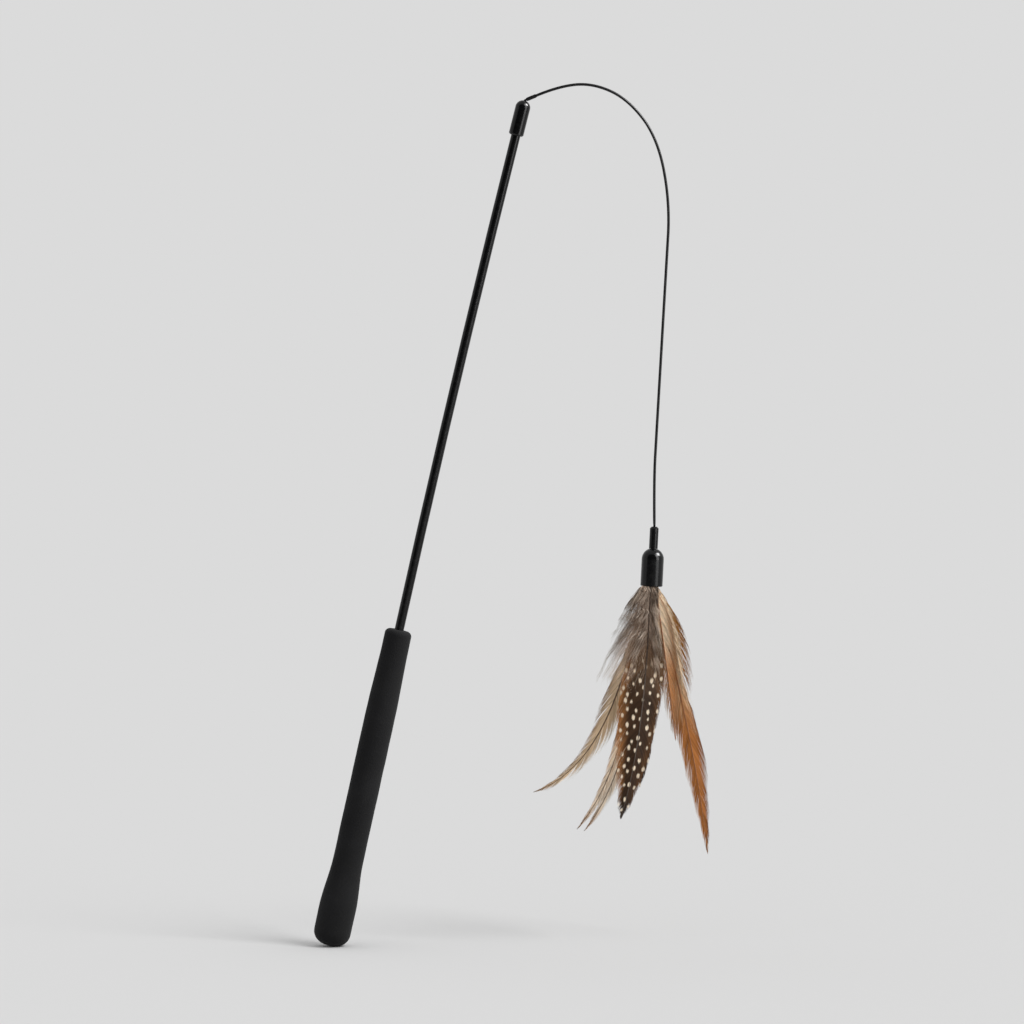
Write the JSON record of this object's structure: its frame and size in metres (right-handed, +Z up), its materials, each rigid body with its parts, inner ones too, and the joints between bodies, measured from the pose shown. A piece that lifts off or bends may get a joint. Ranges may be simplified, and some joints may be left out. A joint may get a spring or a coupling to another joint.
{
  "type": "cat teaser wand",
  "caption": "Cat teaser wand: foam grip on a slim glossy rod, with a springy wire on a swivel and a spinning feather lure.",
  "frame": {"origin": "middle of the foam grip, where the hand closes", "axes": "+Z up with the wand leaning 12.5 degrees to +X as it is held, the wire and lure in the XZ plane, -Y towards the viewer"},
  "size_m": [0.2125, 0.0302, 0.4633],
  "materials": {
    "foam": "matte closed-cell foam",
    "rod_gloss": "glossy black",
    "cap_gloss": "glossy black",
    "sleeve_black": "satin black",
    "wire_black": "satin black",
    "bead_brass": "plain",
    "lure_gloss": "glossy black",
    "glue": "set glue",
    "guinea": "dark brown feather with pale dots and grey-brown down",
    "rust": "orange-brown feather",
    "cream": "cream feather",
    "gold": "gold-brown feather",
    "tan": "tan feather with a dark shaft"
  },
  "bodies": {
    "wand": {"foam_grip": "foam", "rod": "rod_gloss", "tip_cap": "cap_gloss"},
    "swivel": {"swivel_bead": "bead_brass", "wire_tail": "wire_black", "tip_sleeve": "sleeve_black"},
    "wire": {"wire": "wire_black"},
    "neck": {"lure_neck": "lure_gloss", "neck_tail": "wire_black", "swivel_stop": "bead_brass"},
    "lure": {"lure_cap": "lure_gloss", "quill_plug": "glue", "guinea_plume_front": "guinea", "guinea_plume_back": "guinea", "rust_hackle_inner": "rust", "rust_hackle_long": "rust", "cream_hackle": "cream", "gold_hackle": "gold", "tan_hackle_lower": "tan", "tan_hackle_middle": "tan", "tan_hackle_long": "tan"}
  },
  "joints": [
    {"name": "wire_swivel", "type": "hinge", "parent": "wand", "child": "swivel", "pos_m": [0.08601, 0, 0.36796], "axis": [0.2436, 0, 0.9699], "continuous": true},
    {"name": "wire_flex", "type": "hinge", "parent": "swivel", "child": "wire", "pos_m": [0.09202, 0, 0.37045], "axis": [0, 1, 0], "range_deg": [-30, 6], "stiffness_Nm_per_rad": 0.02, "springref_deg": -6.2},
    {"name": "lure_swing", "type": "hinge", "parent": "wire", "child": "neck", "pos_m": [0.15551, 0, 0.14035], "axis": [0, 1, 0], "range_deg": [-35, 10], "stiffness_Nm_per_rad": 0.001, "springref_deg": 2.1},
    {"name": "lure_spin", "type": "hinge", "parent": "neck", "child": "lure", "pos_m": [0.15551, 0, 0.14035], "axis": [0.0489, 0, 0.9988], "continuous": true}
  ]
}
